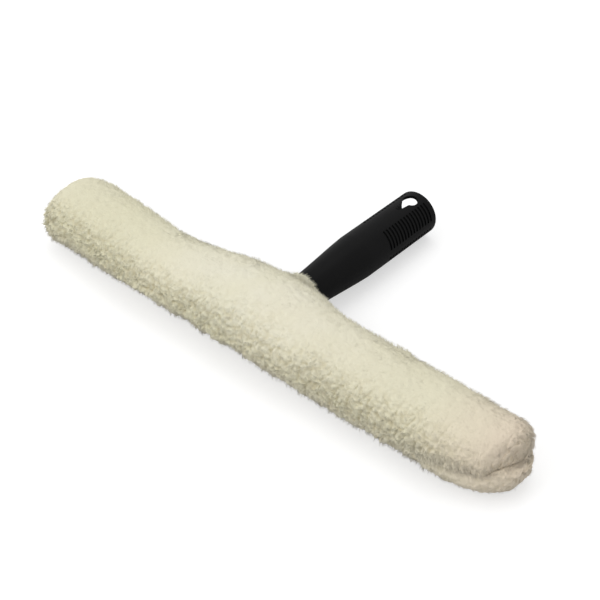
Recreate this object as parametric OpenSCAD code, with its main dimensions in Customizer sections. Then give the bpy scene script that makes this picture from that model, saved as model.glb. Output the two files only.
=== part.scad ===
// Window scrubber: a moulded T-bar with a hollow grip, inside a removable pile sleeve.
// X runs along the bar, +Y along the handle, +Z up. It lies on z = 0 as it does on a bench.

/* [Sleeve] */
// Length of the sleeve over the tips of its pile
sleeve_len = 350; // [250:5:560]
// Depth of the pile at the front and back of the bar
pile_side = 10; // [7:0.5:16]
// Depth of the pile above the bar
pile_top = 11.5; // [8:0.5:18]
// Depth of the pile under the bar
pile_bottom = 11.5; // [8:0.5:18]
// Depth of the pile past the sewn left end
pile_left = 16; // [10:0.5:22]
// Depth of the pile past the mouth at the right end
pile_right = 11; // [8:0.5:16]
// Thickness of the knitted backing that holds the pile
backing_t = 1; // [0.8:0.1:2]
// How far the back swells over the web of the T-bar
swell_back = 7; // [5:0.5:10]
// How far the front swells opposite the web
swell_front = 3.5; // [1:0.5:6]
// How far the top rises over the neck
swell_top = 3; // [1:0.5:6]
// Half length of the swelling along the bar
swell_reach = 45; // [30:1:60]
// How far the back draws in beside the swelling, on the left
waist_depth = 3; // [0:0.5:4]
// Length of the rounding at the back corner of the left end
left_round_back = 26; // [16:1:40]
// Length of the rounding at the front corner of the left end
left_round_front = 22; // [16:1:40]
// Length of the rounding at the back corner of the right end
right_round_back = 18; // [14:1:40]
// Length of the rounding at the front corner of the right end
right_round_front = 32; // [14:1:40]

/* [Closure] */
// Length of the flap at the right end, from its hinge line to the tips of the pile
flap_len = 72; // [60:1:90]
// Width of the hook and loop tapes
tape_w = 16; // [12:1:25]
// Length of the hook and loop tapes across the sleeve
tape_len = 28; // [20:1:30]
// Thickness of each tape
tape_t = 1.4; // [1:0.1:2]
// How far the backing runs on past the tapes
tape_lip = 1; // [0.5:0.5:3]
// Depth of the crease between the two layers at the mouth
crease_depth = 4; // [1:0.5:6]

/* [Crossbar] */
// Width of the bar, front to back
bar_w = 26; // [20:1:32]
// Thickness of the bar
bar_t = 9; // [7:0.5:12]
// Length of a drain slot
slot_len = 13; // [8:1:14]
// Width of a drain slot
slot_w = 5; // [3:0.5:6]
// Distance between the drain slots along the bar
slot_pitch = 18; // [16:1:30]
// Thickness of the web between the bar and the neck
web_t = 8; // [6:0.5:9]
// Half length of the web along the bar
web_reach = 45; // [30:1:50]
// How far the spigot stands out from the bar's centre line
spigot_reach = 58; // [50:1:62]
// Radius of the hollow in the spigot
spigot_core_r = 6; // [4:0.5:6.5]
// Wall of the rubber cap on each end of the bar
cap_wall = 1.5; // [1:0.1:2.5]
// How much of the bar's end the rubber cap covers
cap_cover = 14; // [8:1:20]

/* [Handle] */
// Reach of the handle from the bar's centre line to its open end
handle_reach = 143.5; // [135:0.5:190]
// Outer radius of the neck
neck_r = 11.2; // [11:0.1:12]
// Outer radius of the grip
grip_r = 14.6; // [14:0.1:17]
// Wall of the neck round the spigot
neck_wall = 2; // [1.6:0.1:2.6]
// Radius of the socket for an extension pole
socket_r = 12.2; // [11:0.1:12.4]
// Length of the straight socket
socket_len = 38; // [25:1:38]
// Where the neck starts to flare
flare_start = 36; // [34:1:44]
// Where the flare reaches the full grip
flare_end = 80; // [70:1:81]
// Radius of the hanging hole
hang_r = 5; // [3.5:0.1:5.5]
// Distance of the hanging hole from the open end
hang_from_end = 10.5; // [8:0.5:13]
// How far the hanging hole's tail reaches from the open end
tail_from_end = 24; // [18:0.5:25]
// Distance of the ribbed panels from the open end
panel_from_end = 3.5; // [2:0.5:8]
// Length of the ribbed panels
panel_len = 44; // [20:1:45]
// Half angle that each ribbed panel covers
panel_half = 26; // [15:1:30]
// Distance from rib to rib
rib_pitch = 2.85; // [2:0.05:5]
// Width of the groove between two ribs
groove_w = 1.5; // [1:0.05:1.8]
// Depth of the grooves
groove_depth = 0.8; // [0.3:0.1:1]
// Where the fixing screw sits along the handle
screw_y = 45; // [42:1:50]
// Radius of the fixing screw's shank
screw_r = 1.6; // [1.2:0.1:2]

/* [Hidden] */

fabric_gap = 0.8;    // between the rubber caps and the backing
layer_gap = 0.15;    // between the backing and the pile solid, and half the gap of a parting line
fit_gap = 0.1;       // between pieces that are pushed together
seam_t = 0.9;        // thickness of the overlocked seam bead
seam_h = 4;          // height of the overlocked seam bead
seam_gap = 0.3;      // between the seam bead and what lies beside it
mouth_slack = 2.3;   // between the right rubber cap and the tapes
seam_stop = 4;       // how far the seams stay clear of the hinge line
flat_cut = 0.5;      // how deep the pile is pressed flat where it stands
rim_fillet = 1.2;    // rounding of the handle's open rim
rim_lead = 0.9;      // widening of the mouth right at the rim
screw_play = 0.25;   // round the fixing screw in the handle's wall
screw_bite = 0.05;   // round the fixing screw's core in the spigot
stitch_inset = 1.5;  // from a tape's edge to its stitching
stitch_w = 0.8;      // width of the groove that the stitching lies in
stitch_depth = 0.4;  // depth of that groove
stitch_play = 0.05;  // round the stitching in its groove
exact = 64;          // $fn of true round surfaces
facets = 32;         // $fn of the cuts in the pile and the backing
edge_facets = 12;    // $fn of the bar's and the rubber caps' moulded edges

// Bar and its caps
bar_half = sleeve_len / 2 - pile_right - layer_gap - tape_lip - tape_w - mouth_slack - cap_wall - fit_gap;
cap_x = bar_half + fit_gap + cap_wall;
cap_half_w = bar_w / 2 + fit_gap + cap_wall;
cap_half_h = bar_t / 2 + fit_gap + cap_wall;

// Inside of the backing
hollow_half_w = cap_half_w + 2 * seam_gap + seam_t;
hollow_half_h = cap_half_h + fabric_gap;
hollow_left = -(sleeve_len / 2 - pile_left - layer_gap - backing_t);
hollow_round = 11;
mouth_h = tape_t + 0.7;
mouth_x = cap_x + mouth_slack;
closing_from = cap_x - 4;
closing_to = mouth_x - 0.3;
mouth_end = mouth_x + tape_w + tape_lip;

// Outside of the pile
outer_half_w = hollow_half_w + backing_t + layer_gap + pile_side;
outer_top = hollow_half_h + backing_t + layer_gap + pile_top;
outer_bottom = hollow_half_h + backing_t + layer_gap + pile_bottom;
bar_z = outer_bottom - flat_cut;
hinge_x = sleeve_len / 2 - flap_len;
waist_x = -85;
waist_reach = 28;
crease_h = 3;
crease_lead = 15;
crease_run = 40;
least_pile = 1;
outer_power = 2.3;
inner_power = 4;
left_power = 2.1;
right_power = 2.6;
hollow_power = 2.5;
least_end = 0.3;
tapered = 0.4;

// The T-bar leans until the rim of its grip touches the bench
rim_y = handle_reach - rim_fillet;
rim_r = grip_r - rim_fillet;
lean = asin((bar_z - rim_fillet) / norm([rim_y, rim_r])) - atan(rim_r / rim_y);
front_y = outer_half_w + swell_front;
back_y = rim_y * cos(lean) + rim_r * sin(lean) + rim_fillet;
bar_y = (front_y - back_y) / 2;

// Handle
spigot_r = neck_r - neck_wall - fit_gap;
spigot_bore_r = neck_r - neck_wall;
handle_start = 22;
mouth_r = socket_r + 0.4;
eased = 0.3;
screw_head_r = 2.1 * screw_r;
screw_seat_r = 2.4 * screw_r;
screw_head_h = 1.6;
screw_seat_z = -handle_r(screw_y) + 0.8;
panel_middles = [54, 126, 234, 306];
tail_root = 0.6 * hang_r;
tail_tip = 0.8;
socket_start = handle_reach - tail_from_end - 1 - socket_len;
binding_start = handle_start + 1.5;
binding_w = 3.5;
binding_t = 1.4;
web_foot = bar_w / 2;
web_top = handle_start - 1;
core_start = web_top + 6;
spigot_start = web_foot - 0.5;
web_arc_r = (pow(web_reach - spigot_r, 2) + pow(web_top - web_foot, 2)) / (2 * (web_top - web_foot));

// Stations along the sleeve
pile_end = -sleeve_len / 2;
backing_end = hollow_left - backing_t;
end_stations = [for (t = [0, 0.05, 0.2, 0.44, 0.72]) pile_end + t * (pile_left - layer_gap)];
hollow_stations = [backing_end, hollow_left, for (t = [0.12, 0.4, 1]) hollow_left + t * hollow_round];
body_from = hollow_left + hollow_round;
body_steps = 16;
body_to = hinge_x - layer_gap;
body_stations = [for (i = [1 : body_steps]) let (x = body_from + (body_to - body_from) * i / body_steps)
    abs(x) < (body_to - body_from) / body_steps / 2 ? 0 : x];
flap_from = hinge_x + layer_gap;
flap_stations = [for (t = [0, 0.35, 0.7]) flap_from + t * (closing_from - flap_from)];
mouth_stations = [closing_from, closing_to, (mouth_x + mouth_end) / 2, mouth_end];
flat_edge = asin(pow(1.0005 * bar_z / outer_bottom, outer_power / 2));
tip_stations = [for (t = [0.02, 0.5, 0.85, 1]) mouth_end + layer_gap + t * pile_right];
arc_steps = 14;

// Widths and heights along the sleeve
function bell(x, reach) = exp(-pow(x / reach, 2));
function rounding(t, power) = pow(max(0, 1 - pow(min(1, max(0, t)), power)), 1 / power);
function end_round(x, left, right) = max(least_end, x < 0
    ? rounding(1 - (x - pile_end) / left, left_power)
    : rounding(1 - (sleeve_len / 2 - x) / right, right_power));
function outer_back(x) = (outer_half_w - waist_depth * bell(x - waist_x, waist_reach))
    * end_round(x, left_round_back, right_round_back) + swell_back * bell(x, swell_reach);
function outer_front(x) = outer_half_w * end_round(x, left_round_front, right_round_front)
    + swell_front * bell(x, swell_reach);
function outer_h(x, flat) = flat * (least_end + (1 - least_end) * end_round(x, left_round_back, right_round_back));
function closing(x) = min(1, max(0, (x - closing_from) / (closing_to - closing_from)));
function hollow_end(x, from) = rounding(1 - (x - from) / hollow_round, hollow_power);
function inner_half_w(x, wall) = (hollow_half_w + wall)
    * (x < 0 ? 1 - tapered + tapered * hollow_end(x, hollow_left - wall) : 1);
function cover(x) = 1 - crease(x) / outer_half_w;
function inner_back(x, wall) = min(inner_half_w(x, wall) + swell_back * bell(x, swell_reach),
    outer_back(x) * cover(x) - least_pile);
function inner_front(x, wall) = min(inner_half_w(x, wall), outer_front(x) * cover(x) - least_pile);
function inner_h(x, wall) = x > mouth_end + layer_gap ? 0
    : (hollow_half_h + wall) * hollow_end(x, hollow_left - wall) * (1 - closing(x)) + (mouth_h + wall) * closing(x);
function crease(x) = crease_depth * min(1, max(0, (x - hinge_x + crease_lead) / crease_run));

// Angles round half a ring, closer together where the two layers meet, with one at each edge of the flat underside
function arc_angle(i) = i == arc_steps / 2 ? 90
    : i < arc_steps / 2 ? flat_edge * pow(i / (arc_steps / 2 - 1), 1.6) : 180 - arc_angle(arc_steps - i);

// One half of a ring round the sleeve: side is 1 above the parting line and -1 below it
function arc_points(x, back, front, h, power, side, dent = 0) =
    [for (i = [0 : arc_steps]) let (
        a = arc_angle(i),
        z = h * pow(max(0, sin(a)), 2 / power),
        y = (cos(a) >= 0 ? back : -front) * pow(abs(cos(a)), 2 / power) * (1 - dent * bell(z, crease_h)))
        [x, abs(cos(a)) < 0.001 ? 0 : y, side * max(layer_gap, min(z, side < 0 ? bar_z : z))]];
function flip(list) = [for (i = [len(list) - 1 : -1 : 0]) list[i]];
function pile_ring(x, side) = let (
    wall = backing_t + layer_gap,
    rise = side > 0 ? swell_top * bell(x, swell_reach) : 0,
    flat = side > 0 ? outer_top : outer_bottom)
    concat(arc_points(x, outer_back(x), outer_front(x), outer_h(x, flat) + rise, outer_power, side,
                      1 - cover(x)),
           flip(arc_points(x, inner_back(x, wall), inner_front(x, wall),
                           x < backing_end ? 0 : inner_h(x, wall) + rise, inner_power, side)));
function backing_ring(x, side) = let (
    rise = side > 0 ? swell_top * bell(x, swell_reach) : 0,
    h = x <= hollow_left ? 0 : inner_h(x, 0))
    concat(arc_points(x, inner_back(x, backing_t), inner_front(x, backing_t),
                      max(backing_t, inner_h(x, backing_t)) + rise, inner_power, side),
           flip(arc_points(x, inner_back(x, 0), inner_front(x, 0), h + (h > 0 ? rise : 0), inner_power, side)));

// Skins a list of rings into a closed solid, with its faces as triangles
module skin(rings, side) {
    m = len(rings[0]);
    n = len(rings);
    half = m / 2;
    walls = [for (i = [0 : n - 2], j = [0 : m - 1]) let (
        a = i * m + j, b = i * m + (j + 1) % m, c = a + m, d = b + m)
        each [[a, b, d], [a, d, c]]];
    ends = [for (i = [0 : half - 2]) let (o = m - 1 - i, e = (n - 1) * m)
        each i < half / 2 - 1
            ? [[i, o, i + 1], [i + 1, o, o - 1], [e + i, e + i + 1, e + o], [e + i + 1, e + o - 1, e + o]]
            : [[i, o, o - 1], [i, o - 1, i + 1], [e + i, e + o - 1, e + o], [e + i, e + i + 1, e + o - 1]]];
    faces = concat(walls, ends);
    polyhedron([for (r = rings) each r], side > 0 ? faces : [for (f = faces) flip(f)], convexity = 6);
}

module place() {
    translate([0, bar_y, bar_z]) children();
}

// The T-bar's own frame, leant so that its grip touches the bench
module t_bar_frame() {
    place() rotate([-lean, 0, 0]) children();
}

// Turns a shape that stands on +Z so that it points along the handle
module along_handle(y) {
    translate([0, y, 0]) rotate([-90, 0, 0]) children();
}

// A flat bar with half-round edges and ends
module pill(half_len, half_w, half_h) {
    straight = half_len - half_w;
    flat = half_w - half_h;
    translate([-straight, 0, 0]) rotate([90, 0, 90]) linear_extrude(2 * straight) {
        square([2 * flat, 2 * half_h], center = true);
        for (s = [-1, 1]) translate([s * flat, 0]) circle(half_h, $fn = edge_facets);
    }
    for (s = [-1, 1]) translate([s * straight, 0, 0]) rotate([0, 0, -90 * s])
        rotate_extrude(angle = 180, $fn = edge_facets) intersection() {
            union() {
                translate([flat, 0]) circle(half_h, $fn = edge_facets);
                translate([0, -half_h]) square([flat, 2 * half_h]);
            }
            translate([0, -half_h]) square([half_w, 2 * half_h]);
        }
}

module slot(length, width, depth) {
    cube([length - width, width, depth], center = true);
    for (s = [-1, 1]) translate([s * (length - width) / 2, 0, 0])
        cylinder(h = depth, r = width / 2, center = true, $fn = exact);
}

// Slots in two rows on each side of the web let the water out of the bar
module drain_slots() {
    land = 2;
    first = web_reach + slot_len / 2 + land;
    last = bar_half - cap_cover - slot_len / 2 - land;
    for (s = [-1, 1], row = [-1, 1], x = [first : slot_pitch : last])
        translate([s * x, row * bar_w / 4, 0]) slot(slot_len, slot_w, bar_t + 2);
}

module web() {
    linear_extrude(web_t, center = true) difference() {
        translate([-web_reach, web_foot - 2]) square([2 * web_reach, web_top - web_foot + 2]);
        for (s = [-1, 1]) translate([s * web_reach, web_foot + web_arc_r])
            circle(web_arc_r, $fn = exact);
    }
}

// Moulded crossbar with its web and the spigot that carries the handle
module crossbar() {
    color("#1c1c1d") t_bar_frame() difference() {
        union() {
            pill(bar_half, bar_w / 2, bar_t / 2);
            web();
            along_handle(spigot_start) cylinder(h = spigot_reach - spigot_start, r = spigot_r, $fn = exact);
        }
        drain_slots();
        along_handle(core_start) cylinder(h = spigot_reach, r = spigot_core_r, $fn = exact);
        translate([0, screw_y, -neck_r - 1]) cylinder(h = neck_r, r = screw_r + screw_bite, $fn = exact);
    }
}

module bar_cap(side) {
    color("#2a2a2b") t_bar_frame() difference() {
        pill(cap_x, cap_half_w, cap_half_h);
        pill(bar_half + fit_gap, bar_w / 2 + fit_gap, bar_t / 2 + fit_gap);
        translate([side > 0 ? -2 * cap_x + bar_half - cap_cover : -bar_half + cap_cover, -cap_half_w - 1, -cap_half_h - 1])
            cube([2 * cap_x, 2 * cap_half_w + 2, 2 * cap_half_h + 2]);
    }
}

module left_bar_cap() {
    bar_cap(-1);
}

module right_bar_cap() {
    bar_cap(1);
}

// Outer radius of the handle at y, with an eased flare between neck and grip
function handle_r(y) = let (t = min(1, max(0, (y - flare_start) / (flare_end - flare_start))))
    neck_r + (grip_r - neck_r) * ((1 - eased) * t + eased * t * t * (3 - 2 * t));

module handle_profile() {
    flare_steps = 8;
    polygon(concat(
        [[0, handle_start], [neck_r - 0.6, handle_start], [neck_r, handle_start + 0.6]],
        [for (i = [0 : flare_steps]) let (y = flare_start + (flare_end - flare_start) * i / flare_steps)
            [handle_r(y), y]],
        [for (a = [0 : 15 : 90]) [rim_r + rim_fillet * cos(a), rim_y + rim_fillet * sin(a)]],
        [[0, handle_reach]]));
}

// Neck bore, flare, pole socket and its wider mouth, with a small lead at the rim
module handle_hollow() {
    neck_end = spigot_reach + 1;
    polygon([[0, handle_start - 1], [spigot_bore_r, handle_start - 1], [spigot_bore_r, neck_end],
             [socket_r, socket_start], [socket_r, socket_start + socket_len],
             [mouth_r, socket_start + socket_len + 0.6], [mouth_r, handle_reach - 0.8],
             [mouth_r + rim_lead, handle_reach + 0.1], [0, handle_reach + 0.1]]);
}

// Grooves that leave the ribs of the four grip panels
module rib_grooves() {
    count = floor(panel_len / rib_pitch);
    first = handle_reach - panel_from_end - count * rib_pitch;
    for (middle = panel_middles, i = [0 : count - 1])
        translate([0, 0, first + i * rib_pitch]) rotate([0, 0, middle - 90 - panel_half])
            rotate_extrude(angle = 2 * panel_half, $fn = exact)
                translate([grip_r - groove_depth, 0]) square([groove_depth + 1, groove_w]);
}

// Round hole through both walls, with a tail in the top wall towards the neck
module hanging_hole() {
    y = handle_reach - hang_from_end;
    tail = handle_reach - tail_from_end;
    translate([0, y, 0]) cylinder(h = 2 * grip_r + 4, r = hang_r, center = true, $fn = exact);
    linear_extrude(grip_r + 2) polygon([
        [-tail_root, y - 1], [-2 * tail_tip, tail + 1], [-tail_tip, tail],
        [tail_tip, tail], [2 * tail_tip, tail + 1], [tail_root, y - 1]]);
}

// Hole for the fixing screw and the flat seat for its head, in the underside of the neck
module screw_way() {
    out = -neck_r - 6;
    translate([0, screw_y, 0]) rotate_extrude($fn = exact) polygon([
        [0, out], [screw_seat_r, out], [screw_seat_r, screw_seat_z],
        [screw_r + screw_play, screw_seat_z], [screw_r + screw_play, -neck_r / 2], [0, -neck_r / 2]]);
}

module handle_shell() {
    color("#18181a") t_bar_frame() difference() {
        difference() {
            along_handle(0) difference() {
                rotate_extrude($fn = exact) handle_profile();
                rotate_extrude($fn = exact) handle_hollow();
            }
            screw_way();
            hanging_hole();
        }
        along_handle(0) rib_grooves();
    }
}

// Self-tapping screw that holds the handle on the spigot, from below
module handle_screw() {
    recess_w = 0.8;
    color("silver") t_bar_frame() translate([0, screw_y, screw_seat_z]) difference() {
        union() {
            translate([0, 0, -screw_head_h]) cylinder(h = screw_head_h, r = screw_head_r, $fn = exact);
            cylinder(h = -screw_seat_z - spigot_core_r + 0.5, r = screw_r, $fn = exact);
        }
        for (a = [0, 90]) rotate([0, 0, a]) translate([0, 0, -screw_head_h])
            cube([2 * screw_r, recess_w, screw_head_h], center = true);
    }
}

// Bound edge of the slit that the neck comes out of
module slit_binding() {
    color("#cfc8ae") t_bar_frame() along_handle(binding_start) difference() {
        cylinder(h = binding_w, r = neck_r + seam_gap + binding_t, $fn = exact);
        translate([0, 0, -1]) cylinder(h = binding_w + 2, r = neck_r + seam_gap, $fn = exact);
    }
}

// The way that the neck, the spigot and the binding take through the layers
module neck_way() {
    neck_play = 0.7;
    t_bar_frame() {
        along_handle(web_foot - 1) cylinder(h = spigot_reach, r = neck_r + neck_play, $fn = facets);
        along_handle(binding_start - seam_gap)
            cylinder(h = binding_w + 2 * seam_gap, r = neck_r + 2 * seam_gap + binding_t, $fn = facets);
    }
}

module upper_backing() {
    xs = concat(hollow_stations, body_stations);
    color("#e2dcc8") difference() {
        place() skin([for (x = xs) backing_ring(x, 1)], 1);
        neck_way();
    }
}

module lower_backing() {
    xs = concat(hollow_stations, body_stations, flap_stations, mouth_stations);
    color("#e2dcc8") difference() {
        place() skin([for (x = xs) backing_ring(x, -1)], -1);
        neck_way();
    }
}

module upper_pile() {
    xs = concat(end_stations, [backing_end - layer_gap], hollow_stations, body_stations);
    color("#e0dac4") difference() {
        place() skin([for (x = xs) pile_ring(x, 1)], 1);
        neck_way();
    }
}

module lower_pile() {
    xs = concat(end_stations, [backing_end - layer_gap], hollow_stations, body_stations,
                flap_stations, mouth_stations, tip_stations);
    color("#c8c2ac") difference() {
        place() skin([for (x = xs) pile_ring(x, -1)], -1);
        neck_way();
    }
}

module seam_bead(from, to, side) {
    place() translate([from, side > 0 ? hollow_half_w - seam_gap - seam_t : -hollow_half_w + seam_gap, -seam_h / 2])
        cube([to - from, seam_t, seam_h]);
}

// Overlocked seam along the front
module front_seam() {
    color("#d9d3bd") seam_bead(body_from, hinge_x - seam_stop, -1);
}

// Overlocked seam along the back, on both sides of the slit
module back_seam() {
    color("#d9d3bd") {
        seam_bead(body_from, -web_reach - seam_stop, 1);
        seam_bead(web_reach + seam_stop, hinge_x - seam_stop, 1);
    }
}

// Overlocked seam across the left end
module end_seam() {
    half = hollow_half_w * (1 - tapered);
    color("#d9d3bd") place() translate([hollow_left + seam_t + seam_gap, -half, -seam_h / 4])
        cube([seam_t, 2 * half, seam_h / 2]);
}

module tape_outline(inset) {
    r = 2;
    w = tape_w - 2 * inset;
    l = tape_len - 2 * inset;
    translate([-w / 2, -l / 2 + r]) square([w, l - 2 * r]);
    translate([-w / 2 + r, -l / 2]) square([w - 2 * r, l]);
    for (x = [-1, 1], y = [-1, 1]) translate([x * (w / 2 - r), y * (l / 2 - r)]) circle(r, $fn = exact);
}

module tape_frame(inset, width) {
    difference() {
        tape_outline(inset);
        tape_outline(inset + width);
    }
}

// A tape with a sewn groove near its edge; side is 1 for the upper layer and -1 for the lower one
module tape(side) {
    groove_z = side > 0 ? -0.1 : tape_t - stitch_depth;
    place() translate([mouth_x + tape_w / 2, 0, side > 0 ? layer_gap : -layer_gap - tape_t]) difference() {
        linear_extrude(tape_t) tape_outline(0);
        translate([0, 0, groove_z]) linear_extrude(stitch_depth + 0.1) tape_frame(stitch_inset, stitch_w);
    }
}

module tape_stitching(side) {
    place() translate([mouth_x + tape_w / 2, 0, side > 0 ? layer_gap + stitch_play : -layer_gap - stitch_depth])
        linear_extrude(stitch_depth - stitch_play)
            tape_frame(stitch_inset + stitch_play, stitch_w - 2 * stitch_play);
}

// Woven tape with loops, sewn to the lower layer
module loop_tape() {
    color("#d8d2c0") tape(-1);
}

module loop_stitching() {
    color("#f0ecdf") tape_stitching(-1);
}

module flap_pile() {
    xs = concat(flap_stations, mouth_stations, tip_stations);
    color("#dcd3bf") place() skin([for (x = xs) pile_ring(x, 1)], 1);
}

module flap_backing() {
    xs = concat(flap_stations, mouth_stations);
    color("#e2dcc8") place() skin([for (x = xs) backing_ring(x, 1)], 1);
}

// Woven tape with hooks, sewn under the flap
module hook_tape() {
    color("#c9c4b4") tape(1);
}

module hook_stitching() {
    color("#f0ecdf") tape_stitching(1);
}

crossbar();
left_bar_cap();
right_bar_cap();
handle_shell();
handle_screw();
slit_binding();
upper_backing();
lower_backing();
upper_pile();
lower_pile();
front_seam();
back_seam();
end_seam();
loop_tape();
loop_stitching();
flap_pile();
flap_backing();
hook_tape();
hook_stitching();
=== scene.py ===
import math

import bmesh
import bpy
import numpy as np
from mathutils import Matrix, Vector


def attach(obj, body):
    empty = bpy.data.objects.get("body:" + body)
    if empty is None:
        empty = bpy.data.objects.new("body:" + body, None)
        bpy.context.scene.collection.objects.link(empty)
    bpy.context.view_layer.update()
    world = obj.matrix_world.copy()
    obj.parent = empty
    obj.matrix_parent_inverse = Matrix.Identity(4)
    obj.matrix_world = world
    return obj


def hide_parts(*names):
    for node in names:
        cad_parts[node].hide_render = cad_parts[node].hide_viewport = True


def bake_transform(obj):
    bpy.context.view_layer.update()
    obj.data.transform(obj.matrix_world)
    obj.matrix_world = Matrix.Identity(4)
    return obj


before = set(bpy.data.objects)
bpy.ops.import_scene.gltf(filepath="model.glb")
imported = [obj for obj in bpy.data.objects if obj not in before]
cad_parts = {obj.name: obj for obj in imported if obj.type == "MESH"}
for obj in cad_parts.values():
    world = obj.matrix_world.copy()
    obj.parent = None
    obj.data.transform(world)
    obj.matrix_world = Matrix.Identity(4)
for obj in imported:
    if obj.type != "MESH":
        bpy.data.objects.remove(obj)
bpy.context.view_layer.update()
scene = bpy.context.scene

# Crossbar: one black polypropylene moulding, a flat bar with half-round edges and drain slots.
# A web carries the spigot for the handle. The mould leaves it matt, with a fine grain.


class Val:
    """A number, colour or place that a material works out from point to point."""

    tree = None

    def __init__(self, socket):
        self.socket = socket

    @classmethod
    def node(cls, kind, settings=None, **inputs):
        """A new node: its settings are set first, then its sockets, by name or as in0, in1 and so on."""
        made = cls.tree.nodes.new(kind)
        for name, value in (settings or {}).items():
            setattr(made, name, value)
        for name, value in inputs.items():
            numbered = name.startswith("in") and name[2:].isdigit()
            socket = made.inputs[int(name[2:]) if numbered else name.replace("_", " ")]
            if isinstance(value, Val):
                cls.tree.links.new(value.socket, socket)
            else:
                socket.default_value = value
        return made

    @classmethod
    def maths(cls, operation, *values):
        inputs = {f"in{i}": value for i, value in enumerate(values)}
        return cls(cls.node("ShaderNodeMath", {"operation": operation}, **inputs).outputs[0])

    def __add__(self, other):
        return Val.maths("ADD", self, other)

    def __rsub__(self, other):
        return Val.maths("SUBTRACT", other, self)

    def __mul__(self, other):
        return Val.maths("MULTIPLY", self, other)

    __radd__, __rmul__ = __add__, __mul__

    def clamped(self, low, high):
        """0 up to low, 1 from high on, and even in between."""
        return Val(Val.node("ShaderNodeMapRange", None, Value=self, From_Min=low, From_Max=high).outputs[0])


def empty_tree(owner):
    """Clears the nodes of a material or the world, and sends new nodes there."""
    owner.use_nodes = True
    Val.tree = owner.node_tree
    Val.tree.nodes.clear()


def begin(name):
    material = bpy.data.materials.new(name)
    empty_tree(material)
    return material, Val(Val.node("ShaderNodeTexCoord").outputs["Object"])


def noise(place, scale, detail=3.0, roughness=0.55):
    made = Val.node("ShaderNodeTexNoise", None, Vector=place, Scale=scale, Detail=detail, Roughness=roughness)
    return Val(made.outputs[0])


def opaque(colour):
    return colour if isinstance(colour, Val) else (*colour, 1.0)


def blended(amount, first, second):
    mixed = Val.node("ShaderNodeMix", {"data_type": "RGBA"}, in0=amount, in6=opaque(first), in7=opaque(second))
    return Val(mixed.outputs[2])


def finished(material, colour, roughness, relief, depth, **fixed):
    """Ends a material with its surface and a bump whose depth is in metres."""
    bump = Val.node("ShaderNodeBump", None, Strength=1.0, Distance=depth, Height=relief).outputs[0]
    surface = Val.node("ShaderNodeBsdfPrincipled", None, Base_Color=opaque(colour), Roughness=roughness,
                       Normal=Val(bump), **fixed).outputs[0]
    Val.node("ShaderNodeOutputMaterial", None, Surface=Val(surface))
    return material


def dress(piece, material):
    piece.data.materials.clear()
    piece.data.materials.append(material)


bar_black, place = begin("bar_plastic")
grain, cloudy = noise(place, 2600, 2), noise(place, 60, 3)
bar_black = finished(bar_black, blended(cloudy, (0.010, 0.010, 0.011), (0.017, 0.017, 0.018)),
                     0.42 + 0.16 * cloudy, grain, 0.00006)
dress(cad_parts["crossbar"], bar_black)

# Rubber caps: a pushed-on black boot on each end of the bar, so that it doesn't wear through the cloth.
# They are soft natural rubber, dull, with a slight bloom.
rubber, place = begin("cap_rubber")
bloom = noise(place, 90, 4)
rubber = finished(rubber, blended(bloom, (0.016, 0.016, 0.017), (0.035, 0.034, 0.033)),
                  0.72 + 0.2 * bloom, noise(place, 1400, 2), 0.00008)
for cap in ("left_bar_cap", "right_bar_cap"):
    dress(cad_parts[cap], rubber)

# Handle: a hollow black moulding, straight at the neck and flared to the grip, with ribs on four panels.
# Its surface is satin, with a fine pebble and the faint smears of hands, and it is pushed on the spigot.
grip, place = begin("handle_plastic")
smear, pebble = noise(place, 45, 4, 0.6), noise(place, 1900, 2, 0.5)
grip = finished(grip, blended(smear, (0.0042, 0.0042, 0.0044), (0.0085, 0.0085, 0.0088)),
                0.38 + 0.14 * smear, pebble, 0.00005, Specular_IOR_Level=0.07)
dress(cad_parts["handle_shell"], grip)

# Fixing screw: a small zinc-plated self-tapping screw with a cross recess, driven in from below.
# The plating is bright, with fine turning marks on the head.
steel, place = begin("screw_steel")
turned = noise(place, 900, 2)
steel = finished(steel, blended(turned, (0.5, 0.5, 0.49), (0.66, 0.66, 0.64)),
                 0.28 + 0.2 * turned, turned, 0.00003, Metallic=1.0)
dress(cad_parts["handle_screw"], steel)

# Pile sleeve: a knitted tube with a dense cream pile, smooth on top and curled into small knots at the sides.
# It has an upper and a lower layer, sewn together along the front, the back and the left end.
# The upper one is free at the right end, where it makes the flap. Both are hollow round the T-bar.
MM = 0.001
sleeve_len, pile_end = 350.0, -175.0
bar_y, bar_z, lean, askew = -56.55, 19.05, math.radians(1.7947), 0.005
outer_half_w, outer_tall, outer_power, least_end = 27.25, 19.55, 2.3, 0.12
hollow_half_w, hollow_tall, hollow_left, hollow_round, hollow_end_power = 16.1, 6.9, -157.85, 11.0, 2.5
hollow_power, closing_from, closing_len, closing_in, mouth_x, mouth_tall = 4.0, 140.55, 6.0, 1.9, 164.0, 2.1
lining_t, layer_gap, neck_r, neck_from = 1.0, 0.15, 11.2, 12.0
ground_inset, flat_cut, half_girth = 2.0, 0.35, 78.0
crease_upper, crease_lower, crease_tall, low_tip = 0.04, 0.26, 4.5, 3.5
# Where the outline swells or draws in: how far, at which x, and over what reach
back_waves = [(-4.6, -74, 30), (-2.0, 34, 18), (-1.8, -162, 12), (1.6, -146, 14), (2.0, -36, 16),
              (1.2, 110, 30), (1.2, 150, 18)]
front_dip, front_swell = [(-1.5, 108, 25)], [(3.5, 0, 45), (4.2, -82, 42)]
web_swell, neck_swell = [(7.0, 0, 42)], [(3.0, 0, 45)]
# Roundings of the ends: length and power at the left, length and power at the right
back_ends, front_ends, top_ends = (14, 2.3, 17, 2.5), (18, 2.2, 30, 2.0), (15, 2.3, 12, 2.3)
low_back_ends, bottom_ends = (17, 2.1, 15, 2.5), (16, 2.1, 7, 2.3)
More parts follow.
